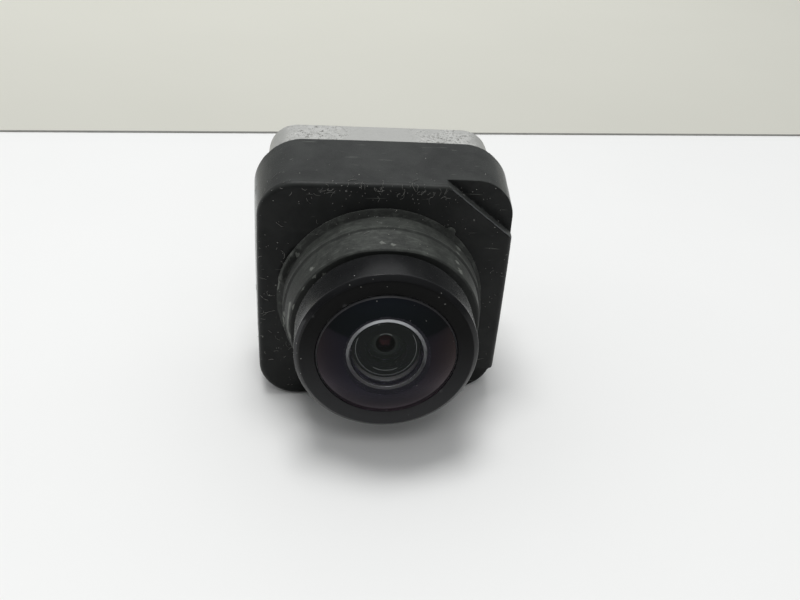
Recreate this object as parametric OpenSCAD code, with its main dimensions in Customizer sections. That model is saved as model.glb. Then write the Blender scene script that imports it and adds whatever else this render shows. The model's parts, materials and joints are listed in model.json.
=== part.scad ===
// Backup camera module: moulded front housing with a round boss, screw-in fisheye
// lens barrel, two stacked circuit boards, cast rear cover and a keyed cable socket.
//
// Millimetres, +Z up. The lens looks along -Y. The origin is where the lens axis
// meets the plane of the housing's front face. "Forward" positions in the Lens
// section are distances in front of that plane, "depth" positions are behind it.

/* [Front housing] */
// Width of the housing at its front edge
body_w = 24; // [23.6:0.1:26]
// Height of the housing at its front edge
body_h = 24; // [24:0.1:26]
// Depth from the front face to the rear rim
body_d = 8.6; // [8.4:0.1:9.6]
// Spread of each side and of the top between front edge and rear rim
draft = 0.7; // [0.3:0.1:1.2]
// Corner radius at the front edge
body_corner = 3.6; // [3:0.1:4.5]
// Thickness of the wall behind the front face
front_wall = 2.6; // [2.4:0.1:2.8]
// Height of the body's middle above the lens axis
body_rise = 0.6; // [0:0.1:0.8]
// Depth of the two keyed recesses in the right-hand corners
key_depth = 1.4; // [0.8:0.1:1.6]

/* [Boss and seal] */
// Outer radius of the boss under its rubber sleeve
boss_r = 8; // [7.4:0.1:8.2]
// Length of the boss in front of the face
boss_len = 4.3; // [3.8:0.1:4.4]
// Radius of the seal's thin flange, which lies in a round seat in the face
seal_flange_r = 10; // [9.8:0.1:10.4]
// Height of that flange above the face
seal_flange_t = 0.2; // [0.15:0.05:0.4]
// Largest radius of the seal's sleeve, in front of the flange
sleeve_back_r = 9.5; // [9.3:0.05:9.6]
// Radius of the sleeve at its front end
sleeve_front_r = 8.9; // [8.5:0.05:9]

/* [Lens] */
// Outer radius of the cap that clamps the front glass
cap_r = 8.3; // [8.1:0.05:8.6]
// Forward position of the cap's rim
cap_reach = 8.55; // [8.35:0.05:9]
// Length of the cap's cylindrical side
cap_len = 3.65; // [3.2:0.05:3.7]
// Radius of the front glass where it shows
glass_r = 6.35; // [6.1:0.05:6.5]
// Radius of curvature of the front glass
dome_r = 9.5; // [9:0.5:14]
// Radius of curvature of the hollow behind the front glass
hollow_r = 3; // [2.9:0.05:3.1]
// Radius of the barrel's threaded shank
shank_r = 6; // [5.7:0.05:6.2]
// Radius of the front lens bore in the barrel
front_bore_r = 4; // [3.8:0.05:4.2]
// Radius of the rear lens bore in the barrel
rear_bore_r = 3.2; // [3:0.05:3.4]
// Radius of the hole in the aperture stop
stop_r = 0.95; // [0.6:0.05:1.4]

/* [Rear cover] */
// Width and height of the cast cover
cover_w = 22.9; // [22.6:0.1:23]
// Corner radius of the cover
cover_corner = 3; // [2.8:0.1:3.2]
// Depth position of the cover's outer rear face
cover_back = 15.1; // [15:0.1:16.4]
// Thickness of the cover's side walls
cover_wall = 1.25; // [1.1:0.05:1.3]
// Thickness of the cover's rear wall
roof = 1.3; // [1.2:0.1:1.4]
// Distance of the four corner screws from the middle, each way
screw_pitch = 8.4; // [8.35:0.05:8.4]

/* [Boards] */
// Width and height of both circuit boards
board_w = 19; // [18:0.1:19.2]
// Thickness of both circuit boards
board_t = 1; // [0.8:0.1:1]
// Depth position of the sensor board's front face
sensor_board_at = 4.6; // [4.5:0.1:4.6]
// Depth position of the serializer board's front face
serializer_board_at = 8.6; // [8.6:0.1:8.8]
// Distance of the board screws above and below the middle
board_screw_pitch = 8; // [7.8:0.1:8]

/* [Cable socket] */
// Outer width and height of the socket's shroud
shroud_w = 10.4; // [10:0.1:10.8]
// Wall thickness of the shroud
shroud_wall = 1.1; // [0.9:0.1:1.2]
// Length of the shroud behind its flange
shroud_len = 9.5; // [8.6:0.1:12]
// Outer radius of the metal shield around the contacts
shield_r = 2.9; // [2.7:0.1:2.9]
// Distance of each contact from the socket's axis, each way
contact_pitch = 1; // [0.8:0.05:1.1]

/* [Hidden] */
$fn = 96;

slip = 0.05;                    // radial gap between a piece and the bore it sits in
eps = 0.01;                     // overshoot of a cutting tool
seal_seat = 0.1;                // depth of the face's seat for the seal's flange

// Lens stack, forward positions
cap_back = cap_reach - cap_len;
cap_peak = cap_reach + 0.3;     // cone around the glass rises to here
lip_back = cap_reach - 0.35;    // underside of the lip that clamps the glass
glass_front = lip_back;
glass_back = glass_front - 0.8; // also the front end of the barrel
glass_flange_r = glass_r + 0.75;
cap_bore_r = glass_flange_r + 0.15;
dome_edge = cap_peak - 0.03;
dome_middle = dome_edge - sqrt(dome_r * dome_r - glass_r * glass_r);
hollow_middle = glass_back - 1.08;
hollow_mouth = sqrt(hollow_r * hollow_r - pow(glass_back - hollow_middle, 2));
o_ring_r = 0.35;                // cord radius of both lens seals
silver_back = glass_back - 0.8;
second_back = silver_back - 1.1;
shoulder_front = second_back - 0.6;
shoulder_back = shoulder_front - 0.3;
stop_front = shoulder_back - 1.8;
stop_back = stop_front - 0.15;
doublet_back = stop_back - 2.45;
spacer_back = doublet_back - 0.6;
filter_back = spacer_back - 0.3;
barrel_back = filter_back - 0.8;
cement_r = 4.5;                 // curve shared by the two cemented elements
cement_apex = doublet_back + 0.35;
barrel_neck_r = 7.6;            // collar that shows in the groove behind the cap
neck_back = boss_len + 0.1;
barrel_seal_at = 3;             // forward position of the shank's seal

// Interface between housing and cover, depth positions
ledge = body_d - 1.6;
gasket_t = 0.8;
cover_front = ledge + gasket_t;
opening_w = cover_w + 0.2;
cavity_w = cover_w - 2.1;
gasket_w = cover_w + 0.1;
gasket_band = 0.7;
post_r = 2;                     // corner posts of housing and cover
roof_in = cover_back - roof;

// Boards, depth positions
sensor_board_back = sensor_board_at + board_t;
serializer_board_back = serializer_board_at + board_t;
mate_plane = (sensor_board_back + serializer_board_at) / 2 - 0.2;
chip_w = 4.6;
chip_t = 0.9;
pad_t = 0.8;
chip_x = -4.6;
chip_z = 4.6;
mate_x = 6.4;

// Cable socket, depth positions
flange_t = 1.4;
flange_back = cover_back + flange_t;
shroud_back = flange_back + shroud_len;
shroud_in = shroud_w - 2 * shroud_wall;
ear_pitch = 7.4;
spigot_r = 4.55;
shield_back = flange_back + 4.1;
carrier_back = shield_back - 1.2;
vent_x = 4.2;
vent_z = -8;

// ---------------------------------------------------------------- helpers

// Points local +Z forward along the lens axis
module on_axis(forward = 0) translate([0, -forward, 0]) rotate([90, 0, 0]) children();

// Puts its children on the body's middle line instead of on the lens axis
module on_body() translate([0, 0, body_rise]) children();

// Extrudes an X-Z outline from one depth to another
module between(near, far)
    translate([0, far, 0]) rotate([90, 0, 0]) linear_extrude(far - near) children();

// Cylinder along Y from one depth to another
module rod(r, near, far, x = 0, z = 0)
    translate([x, far, z]) rotate([90, 0, 0]) cylinder(r = r, h = far - near);

// Rectangle with round corners, about the origin
module round_rect(w, h, r) {
    square([w - 2 * r, h], center = true);
    square([w, h - 2 * r], center = true);
    for (x = [-1, 1], z = [-1, 1])
        translate([x * (w / 2 - r), z * (h / 2 - r)]) circle(r = r);
}

// Flat ring round the lens axis between two forward positions
module lens_ring(outer, inner, back, front)
    on_axis(back) difference() {
        cylinder(r = outer, h = front - back);
        translate([0, 0, -eps]) cylinder(r = inner, h = front - back + 2 * eps);
    }

// Round cord bent into a ring
module torus(ring_r, cord_r) rotate_extrude() translate([ring_r, 0]) circle(r = cord_r, $fn = 32);

// Disc of glass between two forward positions
module disc(r, back, front) on_axis(back) cylinder(r = r, h = front - back);

// Ball on the lens axis
module ball(r, middle) on_axis(middle) sphere(r = r);

// Places children at the four corner screws
module at_corners(pitch)
    for (x = [-1, 1], z = [-1, 1]) translate([x * pitch, 0, z * pitch]) children();

// Screw along Y with its head behind depth seat, and a six-sided key hole
module screw(shank, len, head, head_h, seat) {
    rod(shank, seat - len, seat);
    difference() {
        rod(head, seat, seat + head_h);
        translate([0, seat + head_h + eps, 0]) rotate([90, 0, 0])
            cylinder(r = head * 0.55, h = head_h * 0.6, $fn = 6);
    }
}

// Flat block on a board, behind depth base
module block(w, h, t, base, x, z)
    translate([x - w / 2, base, z - h / 2]) cube([w, t, h]);

// ---------------------------------------------------------------- front housing

// Thin slice of the housing's outside, grown by spread at the sides and the top
module body_slice(at, inset, spread, r) {
    side = body_w / 2 - inset + spread - r;
    low = body_rise - body_h / 2 + inset + r;
    high = body_rise + body_h / 2 - inset + spread - r;
    for (x = [-side, side], z = [low, high])
        translate([x, at + eps, z]) rotate([90, 0, 0]) cylinder(r = r, h = eps, $fn = 32);
}

module body_outside() hull() {
    body_slice(0, 0.5, 0, body_corner - 0.5);
    body_slice(0.6, 0, 0, body_corner);
    body_slice(body_d - eps, 0, draft, body_corner + 1.2);
}

// Recess cut diagonally across the upper right corner of the face
module upper_key() {
    top_cut = [body_w * 0.225, body_h / 2];     // where its step crosses the top edge
    side_cut = [body_w / 2, body_h * 0.282];    // and the side edge
    beyond = (side_cut - top_cut) / 2;
    on_body() between(-eps, key_depth)
        polygon([top_cut - beyond, side_cut + beyond, [body_w, body_h]]);
}

// Recess in the lower right corner of the face
module lower_key() {
    left = body_w * 0.36;
    top = -body_h * 0.354;
    on_body() between(-eps, key_depth)
        translate([left, -body_h / 2 - 1]) square([body_w / 2, top + body_h / 2 + 1]);
}

// Round boss that the lens barrel fits into
module boss() on_axis() rotate_extrude()
    polygon([
        [0, -seal_seat - eps], [boss_r, -seal_seat - eps], [boss_r, boss_len - 0.3],
        [boss_r - 0.3, boss_len], [0, boss_len]
    ]);

module front_housing() color([0.13, 0.14, 0.14]) difference() {
    union() {
        difference() {
            union() {
                difference() {
                    body_outside();
                    disc(seal_flange_r + slip, -seal_seat, 1);
                }
                boss();
            }
            on_body() between(front_wall, ledge + eps) round_rect(cavity_w, cavity_w, 2.6);
            on_body() between(ledge, body_d + 1)
                round_rect(opening_w, opening_w, cover_corner + 0.15);
            upper_key();
            lower_key();
        }
        on_body() at_corners(screw_pitch) {
            rod(post_r + slip, front_wall - 0.2, ledge);
            rod(post_r, ledge - 0.2, cover_front);
        }
        on_body() for (z = [-1, 1])
            rod(1.4, front_wall - 0.2, sensor_board_at, 0, z * board_screw_pitch);
    }
    on_axis(-front_wall - 1) cylinder(r = shank_r + 0.08, h = front_wall + boss_len + 2);
    on_body() at_corners(screw_pitch) rod(0.97, 3.2, cover_front + 1);
    on_body() for (z = [-1, 1])
        rod(0.67, 1.7, sensor_board_at + 1, 0, z * board_screw_pitch);
}

// Rubber sleeve pressed over the boss, with a thin flange, a bead and a tapered front
module barrel_seal() color([0.24, 0.26, 0.25]) {
    front = boss_len + 0.1;
    bead = seal_flange_t + 0.8;
    on_axis() rotate_extrude()
        polygon([
            [boss_r, -seal_seat], [seal_flange_r, -seal_seat], [seal_flange_r, seal_flange_t - 0.05],
            [seal_flange_r - 0.05, seal_flange_t], [sleeve_back_r - 0.05, seal_flange_t],
            [sleeve_back_r, bead], [sleeve_back_r - 0.2, bead + 0.2],
            [sleeve_front_r + 0.1, front - 0.3],
            [sleeve_front_r - 0.1, front], [barrel_neck_r, front],
            [barrel_neck_r, boss_len], [boss_r - 0.3, boss_len], [boss_r, boss_len - 0.3]
        ]);
}

// ---------------------------------------------------------------- lens

// Threaded cap whose lip clamps the front glass
module lens_retainer_cap() color([0.1, 0.1, 0.11]) difference() {
    on_axis() rotate_extrude()
        polygon([
            [0, cap_back], [cap_r - 0.15, cap_back], [cap_r, cap_back + 0.15],
            [cap_r, cap_reach - 0.2], [cap_r - 0.06, cap_reach - 0.06],
            [cap_r - 0.2, cap_reach], [glass_r + 0.15, cap_peak], [0, cap_peak]
        ]);
    disc(cap_bore_r, cap_back - 1, lip_back);
    disc(glass_r + slip, lip_back - 1, cap_peak + 1);
}

// Machined barrel: threaded shank, stepped lens bores, seal grooves
module lens_barrel() color([0.12, 0.12, 0.13]) difference() {
    union() {
        disc(cap_bore_r, cap_back, glass_back);
        disc(barrel_neck_r, neck_back, cap_back);
        disc(shank_r, barrel_back, neck_back + eps);
    }
    disc(front_bore_r, shoulder_front, glass_back + 1);
    disc(rear_bore_r, barrel_back - 1, shoulder_back);
    disc(2.3, shoulder_back - 1, shoulder_front + 1);
    lens_ring(glass_flange_r - 0.1, front_bore_r + 1.2, glass_back - 2 * o_ring_r, glass_back + 1);
    lens_ring(shank_r + 1, shank_r - 0.62, barrel_seal_at - 0.45, barrel_seal_at + 0.45);
}

// Strong negative meniscus with a clamping flange
module front_glass() color([0.2, 0.22, 0.25, 0.5]) difference() {
    union() {
        intersection() {
            ball(dome_r, dome_middle);
            disc(glass_r, glass_back, dome_middle + dome_r + 1);
        }
        disc(glass_flange_r, glass_back, glass_front);
    }
    ball(hollow_r, hollow_middle);
}

module front_glass_o_ring() color([0.15, 0.15, 0.15])
    on_axis(glass_back - o_ring_r) torus(front_bore_r + 1.2 + o_ring_r + slip, o_ring_r);

// Bright metal ring that spaces the first two elements
module silver_spacer_ring() color([0.85, 0.86, 0.88])
    lens_ring(front_bore_r - slip, hollow_mouth, silver_back, glass_back);

// Second element: convex front, hollow back
module second_lens() color([0.3, 0.35, 0.4, 0.5]) {
    front_r = 9;
    front_clear = hollow_mouth - slip;
    back_r = 2.2;
    back_clear = 1.45;
    front_middle = silver_back - sqrt(front_r * front_r - front_clear * front_clear);
    difference() {
        union() {
            disc(front_bore_r - slip, second_back, silver_back);
            intersection() {
                ball(front_r, front_middle);
                disc(front_clear, second_back, silver_back + 1);
            }
        }
        ball(back_r, second_back - sqrt(back_r * back_r - back_clear * back_clear));
    }
}

module black_spacer_ring() color([0.12, 0.12, 0.12])
    lens_ring(front_bore_r - slip, 1.5, shoulder_front, second_back);

// Third element: convex front, flat back against the stop
module third_lens() color([0.3, 0.35, 0.4, 0.5]) {
    front_r = 6;
    clear = 2.25;
    disc(rear_bore_r - slip, stop_front, shoulder_back);
    intersection() {
        ball(front_r, shoulder_back - sqrt(front_r * front_r - clear * clear));
        disc(clear, shoulder_back - eps, shoulder_back + 1);
    }
}

module aperture_stop() color([0.08, 0.08, 0.08])
    lens_ring(rear_bore_r - slip, stop_r, stop_back, stop_front);

// Fourth and fifth elements are cemented together on one curve
module fourth_lens() color([0.3, 0.35, 0.4, 0.5]) intersection() {
    disc(rear_bore_r - slip, doublet_back, stop_back);
    ball(cement_r, cement_apex + cement_r);
}

module fifth_lens() color([0.35, 0.35, 0.4, 0.5]) difference() {
    rim = cement_apex + cement_r - sqrt(cement_r * cement_r - pow(rear_bore_r - slip, 2));
    disc(rear_bore_r - slip, doublet_back, rim);
    ball(cement_r, cement_apex + cement_r);
}

module rear_spacer_ring() color([0.12, 0.12, 0.12])
    lens_ring(rear_bore_r - slip, 2.6, spacer_back, doublet_back);

module infrared_filter() color([0.5, 0.3, 0.4, 0.5])
    disc(rear_bore_r - slip, filter_back, spacer_back);

module rear_retainer_ring() color([0.2, 0.2, 0.2])
    lens_ring(rear_bore_r - slip, 2.4, barrel_back, filter_back);

module barrel_o_ring() color([0.15, 0.15, 0.15])
    on_axis(barrel_seal_at) torus(shank_r - 0.62 + o_ring_r, o_ring_r);

// ---------------------------------------------------------------- boards

// Board outline with bites for the corner posts and holes for its screws
module board_outline() difference() {
    round_rect(board_w, board_w, 1);
    for (x = [-1, 1], z = [-1, 1])
        translate([x * screw_pitch, z * screw_pitch]) circle(r = post_r + 0.35);
    for (z = [-1, 1]) translate([0, z * board_screw_pitch]) circle(r = 0.75);
}

module sensor_board() color([0.1, 0.32, 0.18])
    on_body() between(sensor_board_at, sensor_board_back) board_outline();

// Sensor package, centred on the lens axis
module image_sensor() color([0.2, 0.2, 0.22])
    block(7.4, 6.4, 0.9, sensor_board_at - 0.9, 0, 0);

module sensor_cover_glass() color([0.5, 0.55, 0.6, 0.5])
    block(6.6, 5.6, 0.3, sensor_board_at - 1.2, 0, 0);

module board_receptacle() color([0.85, 0.82, 0.7]) on_body() difference() {
    block(2.8, 8.4, mate_plane - sensor_board_back, sensor_board_back, mate_x, 0);
    block(1.2, 6.8, 1, mate_plane - 0.5, mate_x, 0);
}

module board_plug() color([0.2, 0.18, 0.16]) on_body() {
    block(2.8, 8.4, serializer_board_at - mate_plane, mate_plane, mate_x, 0);
    block(1, 6.6, 0.5, mate_plane - 0.45, mate_x, 0);
}

module serializer_board() color([0.1, 0.32, 0.18]) on_body() difference() {
    between(serializer_board_at, serializer_board_back) board_outline();
    for (x = [-1, 1], z = [-1, 1])
        rod(0.35, serializer_board_at - 1, serializer_board_back + 1,
            x * contact_pitch, z * contact_pitch);
}

module serializer_chip() color([0.12, 0.12, 0.13])
    on_body() block(chip_w, chip_w, chip_t, serializer_board_back, chip_x, chip_z);

module regulator_chip() color([0.12, 0.12, 0.13])
    on_body() block(3.4, 3.4, 0.9, serializer_board_back, -5, -4.6);

module power_inductor() color([0.3, 0.3, 0.32])
    on_body() block(4, 4, 2, serializer_board_back, 5.6, -4.4);

module crystal() color([0.8, 0.8, 0.8])
    on_body() block(3.2, 2.5, 0.8, serializer_board_back, 5.2, 4.6);

// Row of ceramic capacitors along each side edge of the sensor board's back
module capacitors() color([0.6, 0.5, 0.35])
    on_body() for (x = [-8.2, -6.4, -4.6], z = [-4, -1.2, 1.6, 4.4])
        block(1, 0.6, 0.6, sensor_board_back, x, z);

module board_screws() color([0.75, 0.76, 0.78]) on_body() for (z = [-1, 1])
    translate([0, 0, z * board_screw_pitch]) {
        screw(0.65, board_t + 2.4, 1.2, 0.7, sensor_board_back);
        translate([0, serializer_board_at, 0]) mirror([0, 1, 0])
            screw(0.65, board_t + 2.4, 1.2, 0.7, 0);
    }

module thermal_pad() color([0.55, 0.65, 0.75]) on_body()
    block(chip_w - 0.5, chip_w - 0.5, pad_t, serializer_board_back + chip_t, chip_x, chip_z);

// ---------------------------------------------------------------- rear cover

module housing_gasket() color([0.5, 0.3, 0.2]) on_body() between(ledge, cover_front)
    difference() {
        inner = gasket_w - 2 * gasket_band;
        round_rect(gasket_w, gasket_w, cover_corner);
        round_rect(inner, inner, cover_corner - gasket_band);
    }

// Cast cover with corner posts, board posts and a cooling pad for the chip
module rear_cover() color([0.72, 0.73, 0.72]) difference() {
    inside = cover_w - 2 * cover_wall;
    pad_back = serializer_board_back + chip_t + pad_t;
    on_body() difference() {
        between(cover_front, cover_back) round_rect(cover_w, cover_w, cover_corner);
        difference() {
            between(cover_front - eps, roof_in)
                round_rect(inside, inside, cover_corner - cover_wall);
            at_corners(screw_pitch) rod(post_r, cover_front - 1, roof_in + 1);
            for (z = [-1, 1])
                rod(1.4, serializer_board_back, roof_in + 1, 0, z * board_screw_pitch);
            for (x = [-1, 1]) rod(1.5, roof_in - 1.8, roof_in + 1, x * ear_pitch, 0);
            block(chip_w, chip_w, 6, pad_back, chip_x, chip_z);
        }
        at_corners(screw_pitch) {
            rod(1.05, cover_front - 1, cover_back + 1);
            rod(1.85, cover_back - 1.4, cover_back + 1);
        }
        for (z = [-1, 1])
            rod(0.67, serializer_board_back - 1, serializer_board_back + 3, 0, z * board_screw_pitch);
        for (x = [-1, 1]) rod(0.77, roof_in - 1.5, cover_back + 1, x * ear_pitch, 0);
        rod(spigot_r + slip, roof_in - 1, cover_back + 1);
        rod(5.6, cover_back - 0.7, cover_back + 1);
        rod(0.6, roof_in - 1, cover_back + 1, vent_x, vent_z);
        rod(1.7, cover_back - 0.4, cover_back + 1, vent_x, vent_z);
    }
}

module cover_screws() color([0.75, 0.76, 0.78])
    on_body() at_corners(screw_pitch) screw(0.95, cover_back - 5, 1.7, 1.2, cover_back - 1.4);

module vent_membrane() color([0.9, 0.9, 0.88])
    on_body() rod(1.65, cover_back - 0.4, cover_back - 0.2, vent_x, vent_z);

// ---------------------------------------------------------------- cable socket

// Flange, coded shroud and the spigot that fills the cover's opening
module connector_header() color([0.16, 0.16, 0.17]) on_body() difference() {
    union() {
        between(cover_back, flange_back) {
            square([2 * ear_pitch, 4], center = true);
            round_rect(13.4, 12, 1.6);
            for (x = [-1, 1]) translate([x * ear_pitch, 0]) circle(r = 2);
        }
        rod(spigot_r, roof_in, cover_back + eps);
        between(flange_back - eps, shroud_back) round_rect(shroud_w, shroud_w, 1.2);
        for (x = [-2.6, 2.6]) block(1, 0.8, 6, flange_back, x, shroud_w / 2 + 0.3);
        block(3, 0.7, 2, flange_back + 3.4, 0, -shroud_w / 2 - 0.25);
    }
    between(flange_back + 0.9, shroud_back + 1) round_rect(shroud_in, shroud_in, 0.6);
    rod(shield_r + slip, roof_in - 1, flange_back + 2);
    for (x = [-1, 1]) rod(0.85, cover_back - 1, flange_back + 1, x * ear_pitch, 0);
}

module connector_o_ring() color([0.15, 0.15, 0.15])
    on_body() translate([0, cover_back - o_ring_r, 0]) rotate([90, 0, 0])
        torus(5.1, o_ring_r);

module connector_shield() color([0.8, 0.8, 0.78]) on_body() difference() {
    rod(shield_r, serializer_board_back, shield_back);
    rod(shield_r - 0.3, serializer_board_back - 1, shield_back + 1);
}

module contact_carrier() color([0.85, 0.84, 0.8]) on_body() difference() {
    rod(shield_r - 0.35, serializer_board_back, carrier_back);
    for (x = [-1, 1], z = [-1, 1])
        rod(0.32, serializer_board_back - 1, carrier_back + 1, x * contact_pitch, z * contact_pitch);
}

module contact_pins() color([0.85, 0.7, 0.3]) on_body()
    for (x = [-1, 1], z = [-1, 1])
        rod(0.3, serializer_board_at - 0.4, shield_back - 0.4, x * contact_pitch, z * contact_pitch);

module connector_screws() color([0.75, 0.76, 0.78]) on_body() for (x = [-1, 1])
    translate([x * ear_pitch, 0, 0]) screw(0.75, flange_t + 2.4, 1.35, 1, flange_back);

// ---------------------------------------------------------------- assembly

front_housing();
barrel_seal();
lens_retainer_cap();
lens_barrel();
front_glass();
front_glass_o_ring();
silver_spacer_ring();
second_lens();
black_spacer_ring();
third_lens();
aperture_stop();
fourth_lens();
fifth_lens();
rear_spacer_ring();
infrared_filter();
rear_retainer_ring();
barrel_o_ring();
housing_gasket();
sensor_board();
image_sensor();
sensor_cover_glass();
board_receptacle();
board_plug();
serializer_board();
serializer_chip();
regulator_chip();
power_inductor();
crystal();
capacitors();
board_screws();
thermal_pad();
rear_cover();
cover_screws();
connector_header();
connector_o_ring();
connector_shield();
contact_carrier();
contact_pins();
connector_screws();
vent_membrane();
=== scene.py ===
"""Looks for a compact backup camera: moulded housing, dusty rubber seal, black lens barrel with
coated fisheye glass, cast aluminium rear cover and a keyed cable socket.

Shapes are worked out in millimetres in the frame's own axes: the lens looks along -Y, "forward"
positions count from the housing's front face towards the viewer, and +Z is up.
"""

import cmath
import json
import math

import bpy
import numpy as np
from mathutils import Euler, Matrix, Quaternion, Vector
from mathutils.bvhtree import BVHTree


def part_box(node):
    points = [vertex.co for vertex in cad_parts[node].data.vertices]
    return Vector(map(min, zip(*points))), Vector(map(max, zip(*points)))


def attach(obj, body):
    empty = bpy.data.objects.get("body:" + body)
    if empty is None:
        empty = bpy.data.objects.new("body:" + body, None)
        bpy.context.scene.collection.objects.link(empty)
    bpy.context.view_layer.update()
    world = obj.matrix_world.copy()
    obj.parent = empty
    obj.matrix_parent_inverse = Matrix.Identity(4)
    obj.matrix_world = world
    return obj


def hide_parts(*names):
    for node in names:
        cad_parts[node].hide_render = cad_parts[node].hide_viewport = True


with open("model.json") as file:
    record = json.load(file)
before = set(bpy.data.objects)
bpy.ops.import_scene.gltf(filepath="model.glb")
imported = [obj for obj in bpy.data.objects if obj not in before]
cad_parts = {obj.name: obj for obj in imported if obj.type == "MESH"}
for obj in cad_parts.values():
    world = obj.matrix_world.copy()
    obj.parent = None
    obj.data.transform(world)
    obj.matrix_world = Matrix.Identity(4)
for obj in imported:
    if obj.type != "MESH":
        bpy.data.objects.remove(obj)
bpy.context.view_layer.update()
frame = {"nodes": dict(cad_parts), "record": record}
NODES = frame["nodes"]
SLOT_OF = {p["node"]: p["material_slot"] for p in frame["record"]["subparts"]}
MM = 0.001


def size(node):
    """Lowest and highest corner of a CAD node in millimetres."""
    low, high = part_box(node)
    return np.array(low) / MM, np.array(high) / MM


def middle_behind(level, radius, rim):
    """Where the middle of a sphere lies, if its cap's rim has this radius at this forward level."""
    return level - math.sqrt(radius ** 2 - rim ** 2)


# -------- sizes, from the frame

house_low, house_high = size("front_housing")
cover_low, cover_high = size("rear_cover")
cap_low, cap_high = size("lens_retainer_cap")
glass_low, glass_high = size("front_glass")
header_high = size("connector_header")[1]

# Front housing
FLOOR_Z = house_low[2]
BODY_D = house_high[1]  # depth of the housing's rear rim
DRAFT = 0.7
HALF = house_high[0] - DRAFT  # half the housing's width at its front edge
RISE = FLOOR_Z + HALF  # the body's middle above the lens axis
BOSS_LEN = -house_low[1]
BOSS_R = 8.0
BORE_R = 6.08  # of the boss, round the lens barrel
FRONT_EDGE = 0.6  # rounding of the front face's edge
WALL = 2.6
LEDGE = BODY_D - 1.6  # where the rebate for the rear cover starts
KEY_DEPTH = 1.4
KEY_INNER = np.array([0.45 * HALF, HALF])  # the upper recess's step crosses the top edge here, X and Z,
KEY_OUTER = np.array([HALF, 0.564 * HALF])  # and the side edge here
LOWER_KEY = (0.72 * HALF, -0.708 * HALF)  # left side and top of the lower recess
KEY_EDGE = 0.09

# Screws, and the posts and stands that they go into
SCREW_PITCH = 8.4
POST_R = 2.0
STAND_PITCH, STAND_R = 8.0, 1.4  # the boards stand on these, above and below the axis
EAR_PITCH = 7.4

# Cap, front glass and the elements behind it
CAP_R = cap_high[0]
CAP_BACK = -cap_high[1]
CAP_PEAK = -cap_low[1]
CAP_REACH = CAP_PEAK - 0.3
LIP_BACK = CAP_REACH - 0.35
FLANGE_R = glass_high[0]
GLASS_R = FLANGE_R - 0.75
GLASS_BACK = -glass_high[1]
DOME_R = 9.5
DOME_MIDDLE = -glass_low[1] - DOME_R
MOUTH = 2.8  # radius of the hollow's mouth, and of the bright ring's bore
HOLLOW_R = 3.0
HOLLOW_MIDDLE = middle_behind(GLASS_BACK, HOLLOW_R, MOUTH)
CLEAR_R, CLEAR_X, CLEAR_Z = 3.85, -0.1, 1.05  # outside this circle the dome shows only its black back
BLACKEN_FROM = 3.1  # the glass's flat back is black outside this radius
ELEMENT_R = 3.95  # of the bright ring, the second element and the black spacer
SECOND_FRONT = GLASS_BACK - 0.8
SECOND_FRONT_R, SECOND_CLEAR = 9, MOUTH - 0.05
SECOND_BACK = SECOND_FRONT - 1.1
CLEAR_BORE = 1.7  # the second element is black outside this radius
SHOULDER = SECOND_BACK - 0.6  # where the barrel narrows
THIRD_R = 3.15
THIRD_FRONT = SHOULDER - 0.1
BULGE_R, BULGE_CLEAR = 1.6, 1.45  # the third element bulges into the second one's hollow
STOP = SHOULDER - 2.1
PUPIL_R = 0.86

# Rear cover and cable socket
COVER_W = cover_high[0] - cover_low[0]
COVER_FRONT, COVER_BACK = cover_low[1], cover_high[1]
OPENING = COVER_W / 2 + 0.1  # the housing's rebate takes the cover
CAVITY = COVER_W / 2 - 1.05
ROOF = 1.3  # thickness of the cover's back
SCREW_SINK = 1.4  # depth of the screws' counterbores
VENT_X, VENT_Z = 4.2, -8
FLANGE_BACK = COVER_BACK + 1.4
SHROUD_BACK = header_high[1]
SHROUD_W = 10.4
SHROUD_IN = 8.2


# -------- distance fields

def both(a, b, edge=0.0):
    """Solid that two solids share, with its convex edge rounded."""
    return np.minimum(np.maximum(a, b), -edge) + np.hypot(np.maximum(a + edge, 0), np.maximum(b + edge, 0))


def either(a, b, fillet=0.0):
    """Two solids joined, with a concave fillet between them."""
    round_off = np.hypot(np.maximum(fillet - a, 0), np.maximum(fillet - b, 0))
    return np.maximum(np.minimum(a, b), fillet) - round_off


def cut(a, b, edge=0.0):
    """The first solid with the second taken out."""
    return both(a, -b, edge)


def bore(body, hole):
    """A solid with a hole taken out, with sharp edges."""
    return np.maximum(body, -hole)


def slab(v, low, high):
    """Endless plate between two positions."""
    return np.maximum(low - v, v - high)


def plate(u, v, half_u, half_v, r):
    """Rectangle with round corners, in its own plane."""
    a = np.abs(u) - half_u + r
    b = np.abs(v) - half_v + r
    return np.hypot(np.maximum(a, 0), np.maximum(b, 0)) + np.minimum(np.maximum(a, b), 0) - r


def rod(x, z, cx, cz, r):
    """Endless round bar along Y."""
    return np.hypot(x - cx, z - cz) - r


def four(x, z, pitch, r):
    """Four endless bars at the corners of a square."""
    return rod(np.abs(x), np.abs(z), pitch, pitch, r)


def ripple(x, y, z, scale, seed):
    """Smooth waviness from -1 to 1, the same in every run."""
    rng = np.random.default_rng(seed)
    total = 0
    for _ in range(5):
        k = rng.normal(size=3)
        k *= scale / np.linalg.norm(k) * rng.uniform(0.6, 1.6)
        total = total + np.sin(k[0] * x + k[1] * y + k[2] * z + rng.uniform(0, 6.28))
    return total / 5


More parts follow.
